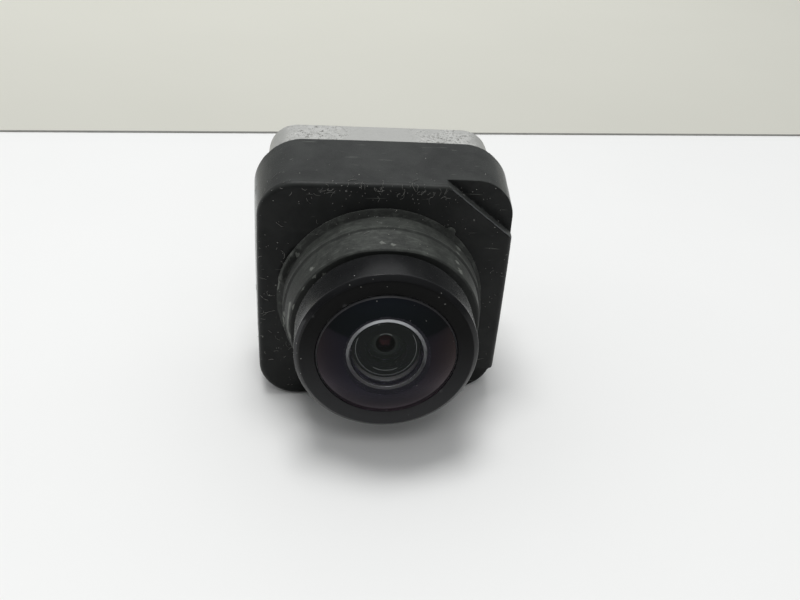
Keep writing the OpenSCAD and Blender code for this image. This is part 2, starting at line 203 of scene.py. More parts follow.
def grid_mesh(name, field, lines):
    """Mesh of a distance field's surface on a grid with the given lines, pulled onto the surface."""
    grid = np.meshgrid(*lines, indexing="ij")
    d = field(*grid)
    cells = tuple(n - 1 for n in d.shape)
    total = np.zeros(cells + (3,))
    count = np.zeros(cells, int)
    crossings = []
    for axis in range(3):
        u, v = (axis + 1) % 3, (axis + 2) % 3
        a = np.take(d, range(d.shape[axis] - 1), axis)
        b = np.take(d, range(1, d.shape[axis]), axis)
        at = np.argwhere((a < 0) != (b < 0))
        at = at[(at[:, u] > 0) & (at[:, v] > 0) & (at[:, u] < cells[u]) & (at[:, v] < cells[v])]
        a, b = a[tuple(at.T)], b[tuple(at.T)]
        point = np.stack([lines[i][at[:, i]] for i in range(3)], 1)
        step = lines[axis][at[:, axis] + 1] - lines[axis][at[:, axis]]
        point[:, axis] += step * a / (a - b)
        around = []
        for du, dv in ((-1, -1), (0, -1), (0, 0), (-1, 0)):
            cell = at.copy()
            cell[:, u] += du
            cell[:, v] += dv
            around.append(cell)
            total[tuple(cell.T)] += point
            count[tuple(cell.T)] += 1
        crossings.append((around, a < 0))
    used = count > 0
    number = np.full(cells, -1)
    number[used] = np.arange(used.sum())
    verts = total[used] / count[used][:, None]
    faces = []
    for around, outward in crossings:
        quad = np.stack([number[tuple(c.T)] for c in around], 1)
        faces.append(np.where(outward[:, None], quad, quad[:, ::-1]))
    reach = min(np.diff(line).min() for line in lines) * 0.6
    for _ in range(4):
        gradient = slope(field, verts)
        length = np.maximum((gradient ** 2).sum(1), 0.04)
        move = np.clip(field(*verts.T) / length, -reach, reach)
        verts = verts - gradient * move[:, None]
    return make_mesh(name, verts, np.concatenate(faces), slope(field, verts))


def slope(field, points, h=0.02):
    """Gradient of a field at points."""
    parts = []
    for axis in range(3):
        shift = np.zeros(3)
        shift[axis] = h
        parts.append((field(*(points + shift).T) - field(*(points - shift).T)) / (2 * h))
    return np.stack(parts, 1)


def make_mesh(name, verts, faces, normals=None):
    """Object from millimetre vertices and faces, smooth shaded."""
    mesh = bpy.data.meshes.new(name)
    mesh.from_pydata((np.asarray(verts, float) * MM).tolist(), [], [list(map(int, f)) for f in faces])
    mesh.validate()
    mesh.shade_smooth()
    if normals is not None:
        length = np.maximum(np.linalg.norm(normals, axis=1), 1e-9)
        mesh.normals_split_custom_set_from_vertices((normals / length[:, None]).tolist())
    obj = bpy.data.objects.new(name, mesh)
    bpy.context.scene.collection.objects.link(obj)
    return obj


def lines(*stops):
    """Grid lines through (position, spacing) stops, evenly spaced between each two."""
    out = [np.array([stops[0][0]])]
    for (start, step), (end, _) in zip(stops, stops[1:]):
        n = max(1, round((end - start) / step))
        out.append(np.linspace(start, end, n + 1)[1:])
    return np.concatenate(out)


# -------- turned shapes

def soften(outline):
    """Outline points (radius, forward, rounding) with each corner replaced by an arc."""
    pts = [complex(*p[:2]) for p in outline]
    out = []
    for i, p in enumerate(pts):
        if len(outline[i]) < 3:
            out.append(p)
            continue
        a, b = pts[i - 1] - p, pts[(i + 1) % len(pts)] - p
        shorter = min(abs(a), abs(b))
        a, b = a / abs(a), b / abs(b)
        half = abs(cmath.phase(a / b)) / 2
        back = min(outline[i][2] / math.tan(half), shorter * 0.49)
        r = back * math.tan(half)
        middle = p + (a + b) / abs(a + b) * (r / math.sin(half))
        start = p + a * back - middle
        turn = cmath.phase((p + b * back - middle) / start)
        steps = max(3, int(abs(turn) / 0.25))
        out += [middle + start * cmath.rect(1, turn * k / steps) for k in range(steps + 1)]
    return [(p.real, p.imag) for p in out]


def arc(middle, r, start, end, n):
    """Points on a circle about (0, middle) between two radii from the axis, in front of its middle."""
    a, b = math.asin(start / r), math.asin(end / r)
    turns = [a + (b - a) * k / n for k in range(n + 1)]
    return [(r * math.sin(t), middle + r * math.cos(t)) for t in turns]


def dense(points, step):
    """A closed outline with no stretch longer than step."""
    out = []
    for p, q in zip(points, points[1:] + points[:1]):
        p, q = np.array(p, float), np.array(q, float)
        n = max(1, math.ceil(np.linalg.norm(q - p) / step))
        out += [p + (q - p) * k / n for k in range(n)]
    return out


def lathe(name, outline, turns=160, step=0.4, shape=None):
    """Closed outline turned round the lens axis. shape may move the finished points."""
    pts = dense([p[:2] for p in outline], step)
    pts = [p for i, p in enumerate(pts) if np.linalg.norm(p - pts[i - 1]) > 1e-4]
    angle = np.linspace(0, 2 * math.pi, turns, endpoint=False)
    verts, rows = [], []
    for r, forward in pts:
        if r < 1e-4:
            rows.append([len(verts)] * turns)
            verts.append((0.0, -forward, 0.0))
        else:
            rows.append(list(range(len(verts), len(verts) + turns)))
            verts += [(r * math.cos(t), -forward, r * math.sin(t)) for t in angle]
    faces = []
    for i, row in enumerate(rows):
        after = rows[(i + 1) % len(rows)]
        if row[0] == row[1] and after[0] == after[1]:
            continue
        for k in range(turns):
            m = (k + 1) % turns
            face = [row[k], row[m], after[m], after[k]]
            faces.append([v for j, v in enumerate(face) if v != face[j - 1]])
    verts = np.array(verts)
    if shape:
        verts = shape(verts)
    return face_outward(make_mesh(name, verts, faces))


def add_piece(name, parts, finish):
    """One piece that stands for no CAD node, made of closed (vertices, faces) parts."""
    verts, faces = [], []
    for part_verts, part_faces in parts:
        faces += [[len(verts) + i for i in face] for face in part_faces]
        verts += part_verts
    obj = face_outward(make_mesh(name, verts, faces))
    obj.data.materials.append(finish)
    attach(obj, "root")


def face_outward(obj):
    """Turns every face of a closed mesh outward."""
    mesh = obj.data
    mesh.calc_loop_triangles()
    co = np.array([v.co for v in mesh.vertices])
    a, b, c = (co[[t.vertices[k] for t in mesh.loop_triangles]] for k in range(3))
    if (a * np.cross(b, c)).sum() < 0:
        mesh.flip_normals()
    return obj


def place(obj, node, *finishes):
    """The piece stands for a CAD node, in the finish of the node's slot or in its own ones."""
    for finish in finishes or [FINISH[SLOT_OF[node]]]:
        obj.data.materials.append(finish)
    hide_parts(node)
    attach(obj, "root")
    return obj


# -------- node materials

def rgba(colour):
    """A socket's four values, from three of a colour or one of a grey."""
    return (*colour, 1) if hasattr(colour, "__len__") else (colour, colour, colour, 1)


class Finish:
    """A node material made around one principled shader. Lengths are in millimetres."""

    def __init__(self, name, **sockets):
        self.material = bpy.data.materials.new(name)
        self.material.use_nodes = True
        self.tree = self.material.node_tree
        self.shader = self.tree.nodes["Principled BSDF"]
        for key, value in sockets.items():
            self.set(key.replace("_", " "), value)
        self.coords = None

    def node(self, kind, inputs=(), **settings):
        made = self.tree.nodes.new(kind)
        for key, value in settings.items():
            setattr(made, key, value)
        for key, value in dict(inputs).items():
            self.feed(made.inputs[key], value)
        return made

    def feed(self, socket, value):
        if isinstance(value, bpy.types.NodeSocket):
            self.tree.links.new(value, socket)
        elif socket.type == "RGBA":
            socket.default_value = rgba(value)
        else:
            socket.default_value = value

    def set(self, key, value):
        self.feed(self.shader.inputs[key], value)

    def place(self, stretch=(1, 1, 1)):
        """Position in millimetres, stretched along the axes."""
        if self.coords is None:
            self.coords = self.node("ShaderNodeTexCoord").outputs["Object"]
        scale = tuple(1000 * s for s in stretch)
        return self.node("ShaderNodeVectorMath", {0: self.coords, 1: scale}, operation="MULTIPLY").outputs[0]

    def noise(self, scale, detail=3, rough=0.55, stretch=(1, 1, 1), warp=0.0):
        return self.node("ShaderNodeTexNoise", {
            "Vector": self.place(stretch), "Scale": scale, "Detail": detail, "Roughness": rough,
            "Distortion": warp}).outputs["Fac"]

    def cells(self, scale, randomness=1.0, stretch=(1, 1, 1)):
        return self.node("ShaderNodeTexVoronoi", {
            "Vector": self.place(stretch), "Scale": scale, "Randomness": randomness})

    def along(self, axis):
        """Position along an axis in millimetres: 0 for X, 1 for Y, 2 for Z."""
        return self.node("ShaderNodeSeparateXYZ", {0: self.place()}).outputs[axis]

    def facing(self, axis):
        """How much the surface faces along an axis, -1 to 1."""
        normal = self.node("ShaderNodeNewGeometry").outputs["Normal"]
        return self.node("ShaderNodeSeparateXYZ", {0: normal}).outputs[axis]

    def ramp(self, value, low, high, start=0.0, end=1.0):
        return self.node("ShaderNodeMapRange", {
            0: value, 1: low, 2: high, 3: start, 4: end}, interpolation_type="SMOOTHSTEP").outputs[0]

    def math(self, operation, a, b=0.5):
        return self.node("ShaderNodeMath", {0: a, 1: b}, operation=operation).outputs[0]

    def times(self, a, b):
        return self.math("MULTIPLY", a, b)

    def plus(self, a, b):
        return self.math("ADD", a, b)

    def mix(self, amount, a, b):
        made = self.node("ShaderNodeMix", data_type="RGBA", clamp_factor=True)
        self.feed(made.inputs[0], amount)
        self.feed(made.inputs[6], a)
        self.feed(made.inputs[7], b)
        return made.outputs[2]

    def paint(self, amount, a, b):
        """Gives the surface a mix of two base colours."""
        self.base = self.mix(amount, a, b)
        self.set("Base Color", self.base)

    def layer(self, amount, colour):
        """Lays a colour over the base colour so far."""
        self.paint(amount, self.base, colour)

    def up(self):
        """How much the surface faces the ceiling, 0 to 1."""
        return self.ramp(self.facing(2), 0.2, 0.95)

    def polish(self, clean, most):
        """Bright polish with a thin film here and there, up to a roughness of most."""
        self.set("Roughness", self.ramp(self.noise(2.5, 4), clean, 0.8, 0.0, most))

    def edge(self, low=0.52, high=0.62):
        """Where the mesh is sharply convex."""
        return self.ramp(self.node("ShaderNodeNewGeometry").outputs["Pointiness"], low, high)

    def bump(self, *layers):
        """Stacks (height, depth in mm) layers into the shader's normal."""
        normal = None
        for height, depth in layers:
            inputs = {"Height": height, "Distance": depth * MM, "Strength": 1.0}
            if normal is not None:
                inputs["Normal"] = normal
            normal = self.node("ShaderNodeBump", inputs).outputs[0]
        self.set("Normal", normal)

    def specks(self, per_mm, size_mm, share):
        """Scattered dots: about per_mm cells a millimetre, of which a share has a dot."""
        cells = self.cells(per_mm)
        edge = size_mm * per_mm
        dot = self.ramp(cells.outputs["Distance"], edge, edge * 0.6)
        chance = self.node("ShaderNodeSeparateColor", {0: cells.outputs["Color"]}).outputs[0]
        return self.times(dot, self.math("LESS_THAN", chance, share))


def housing_finish():
    """Dusty nylon, worn at its edges, with scuffs and a painted highlight on its sides."""
    f = Finish("housing_nylon", Specular_IOR_Level=0.2, Sheen_Weight=0.4, Sheen_Roughness=0.22,
               Sheen_Tint=(0.8, 0.82, 0.8))
    grain = f.noise(11, 4, 0.6)
    patches = f.ramp(f.noise(0.3, 4, 0.6, warp=0.5), 0.3, 0.7)
    f.paint(patches, (0.0025, 0.003, 0.003), (0.010, 0.0108, 0.0104))
    film = f.ramp(f.noise(0.22, 5, 0.6, warp=0.8), 0.3, 0.7, 0.45, 1.1)
    dust = f.times(film, f.plus(f.up(), 0.1))
    f.layer(f.times(dust, 0.09), (0.20, 0.215, 0.20))
    wear = f.times(f.edge(), f.ramp(f.noise(1.6, 4, 0.7), 0.35, 0.65))
    f.layer(f.times(wear, 0.12), (0.17, 0.18, 0.17))
    # Side-facing surfaces are lightened: partly scuffs, partly a painted highlight of the sides' grazing
    # reflection.
    sides = f.ramp(f.math("ABSOLUTE", f.facing(0)), 0.55, 0.95)
    scuff_and_painted_highlight = f.times(sides, f.ramp(f.noise(0.8, 4), 0.3, 0.7, 0.7, 1.0))
    f.layer(f.times(scuff_and_painted_highlight, 0.16), (0.2, 0.205, 0.2))
    scratch = f.ramp(f.noise(3.0, 2, 0.4, stretch=(0.12, 1.5, 1.5), warp=0.3), 0.7, 0.75)
    f.layer(f.times(scratch, 0.3), (0.22, 0.23, 0.21))
    f.layer(f.specks(1.1, 0.055, 0.16), (0.45, 0.46, 0.42))
    f.set("Roughness", f.ramp(grain, 0.3, 0.8, 0.42, 0.58))
    f.bump((grain, 0.006), (f.noise(28, 2), 0.003), (scratch, -0.006))
    return f.material


def rubber_finish():
    """Black rubber, with dust on top and streaks of it at the root by the housing, and ridges lightened
    partly by wear and partly by a painted highlight.
    """
    f = Finish("sleeve_rubber", Specular_IOR_Level=0.3, Sheen_Weight=0.12, Sheen_Roughness=0.4,
               Sheen_Tint=(0.8, 0.82, 0.78))
    cloud = f.noise(0.55, 5, 0.6, warp=0.5)
    fine = f.noise(7, 4, 0.65)
    f.paint(cloud, (0.010, 0.011, 0.010), (0.018, 0.019, 0.018))
    film = f.ramp(f.noise(0.6, 6, 0.68, warp=0.8), 0.3, 0.7, 0.3, 1.2)
    dust = f.times(film, f.plus(f.up(), 0.12))
    root = f.ramp(f.along(1), -0.9, -0.1)
    streak = f.ramp(f.noise(1.6, 5, 0.7, stretch=(0.5, 3.0, 0.5), warp=0.6), 0.45, 0.7)
    at_root = f.times(root, f.plus(f.times(streak, 0.6), 0.3))
    dust = f.math("MAXIMUM", dust, at_root)
    f.layer(f.times(dust, 0.175), (0.14, 0.155, 0.135))
    f.layer(f.times(f.times(streak, dust), 0.12), (0.3, 0.32, 0.29))
    # Ridges lightened: partly edge wear, partly a painted highlight along them.
    f.layer(f.times(f.edge(0.51, 0.57), 0.6), (0.2, 0.21, 0.19))
    f.layer(f.specks(1.5, 0.045, 0.3), (0.4, 0.4, 0.36))
    f.set("Roughness", f.ramp(fine, 0.3, 0.7, 0.55, 0.75))
    f.bump((fine, 0.010), (f.noise(22, 2), 0.004))
    return f.material


def barrel_finish():
    """Satin black, blasted matt on the faces that look forward, which get painted light making them lighter
    towards the bottom.
    """
    f = Finish("barrel_satin_black", Sheen_Weight=0.13, Sheen_Roughness=0.35, Sheen_Tint=(0.8, 0.82, 0.8))
    matt = f.ramp(f.facing(1), -0.8, -0.97)
    f.set("Specular IOR Level", f.ramp(matt, 0.0, 1.0, 0.2, 0.07))
    f.paint(f.noise(0.6, 4), (0.003, 0.003, 0.0035), (0.006, 0.006, 0.007))
    dust = f.times(f.up(), f.ramp(f.noise(0.7, 4), 0.2, 0.8, 0.01, 0.03))
    f.layer(dust, (0.2, 0.21, 0.2))
    # Painted light: the forward faces get lighter towards the bottom, standing in for light bounced up from
    # the floor.
    low = f.ramp(f.along(2), 4.0, -8.0)
    f.layer(matt, f.mix(low, 0.005, (0.038, 0.038, 0.04)))
    f.layer(f.times(f.edge(0.55, 0.7), 0.3), (0.10, 0.10, 0.105))
    f.layer(f.specks(0.9, 0.05, 0.2), 0.4)
    polish = f.ramp(f.noise(2.2, 5, 0.7), 0.25, 0.75, 0.2, 0.28)
    f.set("Roughness", f.plus(polish, f.times(matt, 0.25)))
    f.bump((f.noise(3, 3, 0.6), 0.0006))
    return f.material


COATING = {"IOR": 1.6, "Thin_Film_IOR": 1.38, "Specular_Tint": (0.72, 0.68, 0.7)}


def set_coating(f):
    """Anti-reflection coating in nanometres, laid down a little unevenly."""
    f.set("Thin Film Thickness", f.ramp(f.along(2), -5.5, 3.0, 131.0, 105.0))


def coated_glass_finish():
    """The clear middle of the front glass. It reflects little, because most samples have to go through it."""
    weak = dict(COATING, Specular_Tint=(0.1, 0.09, 0.1))
    f = Finish("coated_front_glass", Base_Color=(0.97, 0.97, 0.99), Transmission_Weight=1.0, **weak)
    set_coating(f)
    f.polish(0.45, 0.03)
    return f.material


def dark_glass_finish(name, dark, light, coated=False, **sockets):
    """Polished, where the glass is black behind."""
    f = Finish(name, **sockets)
    if coated:
        set_coating(f)
    f.paint(f.noise(0.7, 4), dark, light)
    f.polish(0.45, 0.04)
    return f.material


def pupil_finish():
    """The deep elements seen together, as painted light: a glowing dim grey haze that ends in the dark round
    pupil.
    """
    f = Finish("pupil_glass", IOR=1.5, Specular_IOR_Level=0.42, Specular_Tint=(1.0, 0.35, 0.42),
               Emission_Strength=1.0)
    x, z = f.along(0), f.along(2)
    r = f.math("SQRT", f.plus(f.times(x, x), f.times(z, z)))
    # Painted light: the emission stands in, by radius, for the light seen on the deep elements.
    glow = f.mix(f.ramp(r, PUPIL_R - 0.1, PUPIL_R), (0.0055, 0.006, 0.0055), (0.02, 0.0225, 0.0208))
    glow = f.mix(f.ramp(r, PUPIL_R + 0.02, PUPIL_R + 0.3), glow, (0.0135, 0.0158, 0.0145))
    glow = f.mix(f.ramp(r, PUPIL_R + 0.28, PUPIL_R + 0.5), glow, (0.0125, 0.0142, 0.0132))
    f.paint(f.noise(0.7, 4), 0.003, 0.005)
    f.set("Emission Color", glow)
    f.polish(0.4, 0.05)
    return f.material


def clear_glass_finish(name, tint, ior=1.5):
    """Coated so well that hardly anything reflects from it."""
    f = Finish(name, Base_Color=tint, IOR=ior, Transmission_Weight=1.0, Specular_Tint=0.12)
    f.polish(0.4, 0.02)
    return f.material


def black_paint_finish(name, haze=0.0):
    """Matt black. Haze is the faint light that the glass in front of it scatters."""
    f = Finish(name, Roughness=0.8, Specular_IOR_Level=0.2, Emission_Color=haze, Emission_Strength=1.0)
    f.paint(f.noise(3, 4), 0.004, 0.009)
    f.bump((f.noise(16, 3), 0.006))
    return f.material


def metal_finish(name, dark, light, rough, sides=0.0, painted_low_light=0.0):
    """Turned metal. sides paints shade on it to the left and right, and the last argument paints light
    glowing from its lower part.
    """
    f = Finish(name, Metallic=1.0)
    grain = f.noise(5, 4, 0.6)
    f.paint(grain, dark, light)
    if sides:
        # Painted shade: darker to the left and right.
        across = f.math("ABSOLUTE", f.along(0))
        f.layer(f.ramp(across, 0.8, 2.8, 0.0, sides), 0.03)
    # Painted light: the lower part glows.
    if painted_low_light:
        f.set("Emission Strength", f.ramp(f.along(2), 0.5, -2.9, 0.0, painted_low_light))
    f.set("Roughness", f.ramp(grain, 0.3, 0.7, rough - 0.08, rough + 0.08))
    f.bump((grain, 0.006), (f.noise(25, 2), 0.002))
    return f.material


def cast_finish():
    """Die cast aluminium with speckled corrosion, mostly towards both sides."""
    f = Finish("cast_aluminium")
    grain = f.noise(6, 5, 0.65)
    across = f.math("ABSOLUTE", f.along(0))
    ends = f.math("SUBTRACT", f.ramp(across, 2.0, 5.0), f.ramp(across, 8.5, 10.5))
    cloud = f.ramp(f.noise(0.5, 5, 0.6, warp=0.6), 0.35, 0.6)
    bloom = f.times(cloud, f.math("MAXIMUM", ends, 0.08))
    pits = f.times(f.ramp(f.noise(3.2, 6, 0.8, warp=0.4), 0.53, 0.6), bloom)
    crust = f.times(f.ramp(f.noise(4.6, 5, 0.8), 0.55, 0.64), bloom)
    f.paint(grain, (0.45, 0.45, 0.43), (0.51, 0.51, 0.49))
    f.layer(crust, (0.72, 0.72, 0.68))
    f.layer(pits, (0.07, 0.066, 0.05))
    f.set("Metallic", f.ramp(bloom, 0.0, 1.0, 0.8, 0.2))
    f.set("Roughness", f.ramp(f.noise(1.5, 4), 0.3, 0.7, 0.42, 0.62))
    f.bump((grain, 0.006), (pits, -0.02), (crust, 0.015))
    return f.material


def moulded_finish(name, dark, light, rough=0.5, depth=0.01):
    """Plain moulded or pressed stuff with a fine grain."""
    f = Finish(name)
    grain = f.noise(10, 4, 0.6)
    f.paint(f.noise(0.8, 4), dark, light)
    f.set("Roughness", f.ramp(grain, 0.3, 0.7, rough - 0.07, rough + 0.07))
    f.bump((grain, depth))
    return f.material


def board_finish():
    """Green solder mask over copper tracks."""
    f = Finish("solder_mask", Roughness=0.35)
    tracks = f.cells(1.6, 0.4, stretch=(1, 0.1, 1)).outputs["Distance"]
    lane = f.ramp(tracks, 0.42, 0.5)
    f.paint(lane, (0.012, 0.09, 0.035), (0.03, 0.17, 0.07))
    f.bump((lane, 0.02))
    return f.material


def membrane_finish():
    """White porous film."""
    f = Finish("vent_film", Roughness=0.9)
    weave = f.noise(18, 4, 0.7)
    f.paint(weave, (0.6, 0.6, 0.58), (0.8, 0.8, 0.78))
    f.bump((weave, 0.02))
    return f.material


MOULDED = {  # slot: name, dark, light, roughness and the grain's depth
    "rubber_inner": ("inner_rubber", 0.012, 0.022, 0.6),
    "silicone": ("cured_silicone", (0.3, 0.1, 0.06), (0.4, 0.15, 0.09), 0.5),
    "sensor_package": ("sensor_package", (0.02, 0.02, 0.024), (0.04, 0.04, 0.045), 0.3),
    "chip_black": ("chip_epoxy", (0.015, 0.015, 0.016), (0.03, 0.03, 0.032), 0.55),
    "ferrite": ("pressed_ferrite", (0.05, 0.05, 0.055), (0.09, 0.09, 0.1), 0.6, 0.02),
    "ceramic_part": ("fired_ceramic", (0.28, 0.2, 0.12), (0.4, 0.3, 0.2), 0.45),
    "connector_ivory": ("ivory_moulding", (0.62, 0.58, 0.47), (0.74, 0.7, 0.58), 0.4),
    "connector_dark": ("dark_moulding", (0.04, 0.035, 0.03), (0.07, 0.06, 0.05), 0.4),
    "connector_black": ("socket_moulding", (0.02, 0.02, 0.021), (0.034, 0.034, 0.036), 0.5, 0.02),
    "thermal_silicone": ("thermal_pad", (0.22, 0.32, 0.44), (0.32, 0.42, 0.54), 0.7, 0.02),
}
FINISH = {
    "housing": housing_finish(),
    "rubber_sleeve": rubber_finish(),
    "barrel_black": barrel_finish(),
    "coated_glass": coated_glass_finish(),
    "lens_glass": clear_glass_finish("lens_glass", (0.93, 0.96, 0.95)),
    "filter_glass": clear_glass_finish("filter_glass", (0.9, 0.45, 0.5)),
    # The bright ring gets painted shade on its sides and painted light glowing from its lower part.
    "bright_ring": metal_finish("bright_ring", (0.46, 0.47, 0.48), (0.62, 0.63, 0.64), 0.35, 0.68, 0.036),
    "matte_black": black_paint_finish("matte_black"),
    "circuit_board": board_finish(),
    "cast_aluminium": cast_finish(),
    "steel": metal_finish("steel", (0.42, 0.42, 0.43), (0.6, 0.6, 0.61), 0.35),
    "tinned_brass": metal_finish("tinned_brass", (0.55, 0.54, 0.5), (0.7, 0.69, 0.64), 0.3),
    "gold_brass": metal_finish("gold_brass", (0.75, 0.5, 0.18), (0.9, 0.66, 0.28), 0.25),
    "membrane": membrane_finish(),
}
FINISH.update({slot: moulded_finish(*look) for slot, look in MOULDED.items()})
LINT = moulded_finish("lint", (0.07, 0.07, 0.065), (0.26, 0.26, 0.245), 0.8, 0.001)
# The flash's light colour is a painted highlight of the step's edge.
FLASH_PAINTED_HIGHLIGHT = moulded_finish("flash_painted_highlight", (0.04, 0.043, 0.045), (0.13, 0.135, 0.14), 0.6, 0.001)
GLASS_EDGE = black_paint_finish("blackened_glass_edge", (0.0125, 0.0125, 0.015))
DARK_GLASS = dark_glass_finish("coated_glass_over_black", (0.006, 0.0078, 0.0076), (0.008, 0.0098, 0.0096),
                               True, Sheen_Weight=0.12, Sheen_Roughness=0.3,
                               Sheen_Tint=(0.75, 0.25, 0.55), **COATING)
HOLLOW_GLASS = clear_glass_finish("front_glass_hollow", 0.97, 1.15)
GROUND_GLASS = moulded_finish("ground_glass_bevel", (0.02, 0.02, 0.022), (0.035, 0.035, 0.038), 0.45, 0.001)
SECOND_GLASS = clear_glass_finish("second_glass", (0.9, 0.92, 0.9), 1.02)
# Blackened inner glass, with a painted glow standing in for the light seen on it.
SECOND_BLACK_PAINTED_GLOW = dark_glass_finish("inner_glass_over_black_painted_glow", (0.0015, 0.0018, 0.0018),
                                 (0.003, 0.0034, 0.0034), Specular_IOR_Level=0.0, Emission_Strength=1.0,
                                 Emission_Color=(0.0118, 0.0132, 0.0124))
SPACER_BLACK = black_paint_finish("spacer_black", (0.0115, 0.013, 0.0122))
# Painted highlights: thin arcs that glow where the stops' edges catch light.
GLINT_ARC_PAINT = dark_glass_finish("painted_glint_arc", (0.05, 0.053, 0.053), (0.08, 0.083, 0.083),
                              Emission_Strength=1.0, Emission_Color=(0.075, 0.08, 0.078))
PUPIL_GLASS = pupil_finish()


# -------- front housing

def key_recesses(x, y, zb):
    """The two recesses in the face's right-hand corners: a slanting step above, a square one below."""
    run = (KEY_OUTER - KEY_INNER) / np.linalg.norm(KEY_OUTER - KEY_INNER)
    across = (x - KEY_INNER[0]) * run[1] - (zb - KEY_INNER[1]) * run[0]
    upper = np.maximum(across, y - KEY_DEPTH)
    lower = np.maximum(both(LOWER_KEY[0] - x, zb - LOWER_KEY[1]), y - KEY_DEPTH)
    return upper, lower


def housing_field(x, y, z):
    zb = z - RISE
    spread = DRAFT * np.clip((y - FRONT_EDGE) / (BODY_D - FRONT_EDGE), 0, 1)
    bow = 0.14 * (np.minimum(np.abs(x), np.abs(zb)) / HALF) ** 2
    corner = 3.6 + 1.2 * spread / DRAFT
    half_h = HALF + spread / 2
    body = plate(x, zb - spread / 2, HALF + spread - bow, half_h - bow * (zb > 0), corner)
    body = both(body, -y, FRONT_EDGE)
    body = both(body, y - BODY_D, 0.3)
    around = np.hypot(x, z)
    boss = both(around - BOSS_R, -y - BOSS_LEN, 0.3)
    body = np.minimum(body, boss)
    for recess in key_recesses(x, y, zb):
        body = cut(body, recess, KEY_EDGE)
    hollow = np.maximum(plate(x, zb, CAVITY, CAVITY, 2.6), slab(y, WALL, LEDGE + 0.1))
    rebate = np.maximum(plate(x, zb, OPENING, OPENING, 3.15), slab(y, LEDGE, BODY_D + 2))
    posts = np.maximum(four(x, zb, SCREW_PITCH, POST_R), slab(y, WALL - 0.2, COVER_FRONT))
    stands = np.maximum(rod(np.abs(zb), x, STAND_PITCH, 0, STAND_R), slab(y, WALL - 0.2, 4.6))
    body = cut(body, np.minimum(hollow, rebate), 0.05)
    body = np.minimum(np.minimum(body, posts), stands)
    body = np.maximum(body, BORE_R - around)
    body = bore(body, np.maximum(four(x, zb, SCREW_PITCH, 0.97), 3.2 - y))
    body = bore(body, np.maximum(rod(np.abs(zb), x, STAND_PITCH, 0, 0.67), 1.7 - y))
    return np.maximum(body + 0.012 * ripple(x, y, z, 1.1, 4), FLOOR_Z - z)


def build_housing():
    w = HALF + DRAFT + 0.2
    side = lines((-w, 0.2), (w, 0))
    depth = lines((-BOSS_LEN - 0.2, 0.25), (-1.0, 0.15), (1.6, 0.22), (BODY_D + 0.2, 0))
    high = lines((FLOOR_Z - 0.2, 0.2), (house_high[2] + 0.2, 0))
    place(grid_mesh("moulded_housing", housing_field, [side, depth, high]), "front_housing")


# -------- seal, cap and glass

def worn(verts, amount, seed, fade_from):
    """Moves the points outside a radius in and out a little, round the lens axis."""
    x, y, z = verts.T
    r = np.hypot(x, z)
    push = amount * ripple(x, y, z, 0.9, seed) + amount * 0.5 * ripple(x, y, z, 2.6, seed + 1)
    push = push * np.clip((r - fade_from) / 0.5, 0, 1)
    scale = (r + push) / np.maximum(r, 1e-6)
    return np.stack([x * scale, y + 0.4 * push, z * scale], 1)


def bump_at(angle, degrees, width):
    """Smooth bump round the lens axis, 1 at its middle. Angles run from +X towards +Z."""
    turn = (angle - math.radians(degrees) + math.pi) % (2 * math.pi) - math.pi
    return np.exp(-(turn / math.radians(width)) ** 2)


def seal_shape(verts):
    """A sleeve that sits a little crooked, pressed in at the top, with a torn lip and a small tab."""
    verts = worn(verts, 0.03, 11, BOSS_R)
    x, y, z = verts.T
    r = np.hypot(x, z)
    angle = np.arctan2(z, x)
    skin = np.clip((r - BOSS_R - 0.1) / 0.3, 0, 1)
    front = skin * np.clip((-y - 2.2) / 2.0, 0, 1)
    sag = 0.36 * bump_at(angle, 18, 38) - 0.28 * bump_at(angle, 92, 22) + 0.1 * bump_at(angle, 180, 40)
    push = front * sag
    flange = np.clip((r - 9.5) / 0.25, 0, 1) * np.clip((0.8 + y) / 0.4, 0, 1)
    lip = np.clip(4 * (bump_at(angle, 157, 14) - 0.45), 0, 1) * flange
    tab = flange * np.clip(3 * (bump_at(angle, 51, 2.6) - 0.3), 0, 1)
    push = push + 0.16 * lip + 0.4 * tab
    x, z = x * (r + push) / r, z * (r + push) / r
    x = x - 0.17 * flange - 0.06 * skin
    z = z + 0.33 * flange
    return np.stack([x, y - 0.45 * lip, z], 1)


def seal_outline():
    front, small = BOSS_LEN + 0.1, 8.62
    return soften([
        (BOSS_R, 0), (9.88, 0), (9.88, 0.06, 0.03), (9.5, 0.3, 0.12), (9.46, 0.6, 0.3), (9.38, 1.3, 0.6),
        (9.40, 1.85, 0.1), (9.44, 2.02, 0.08), (9.22, 2.2, 0.15), (small + 0.2, 3.7, 1.2),
        (small + 0.05, front - 0.14, 0.12), (small - 0.1, front, 0.1), (7.6, front), (7.6, BOSS_LEN),
        (BOSS_R - 0.3, BOSS_LEN), (BOSS_R, BOSS_LEN - 0.3),
    ])


def cap_outline():
    bore_r = FLANGE_R + 0.15
    return soften([
        (bore_r, CAP_BACK), (CAP_R - 0.16, CAP_BACK, 0.06), (CAP_R, CAP_BACK + 0.14, 0.06),
        (CAP_R, CAP_REACH - 0.14, 0.1), (CAP_R - 0.15, CAP_REACH, 0.08), (CAP_R - 0.5, CAP_PEAK, 0.3),
        (GLASS_R + 0.1, CAP_PEAK - 0.13, 0.05), (GLASS_R + 0.02, CAP_PEAK - 0.2),
        (GLASS_R + 0.03, LIP_BACK), (bore_r, LIP_BACK),
    ])


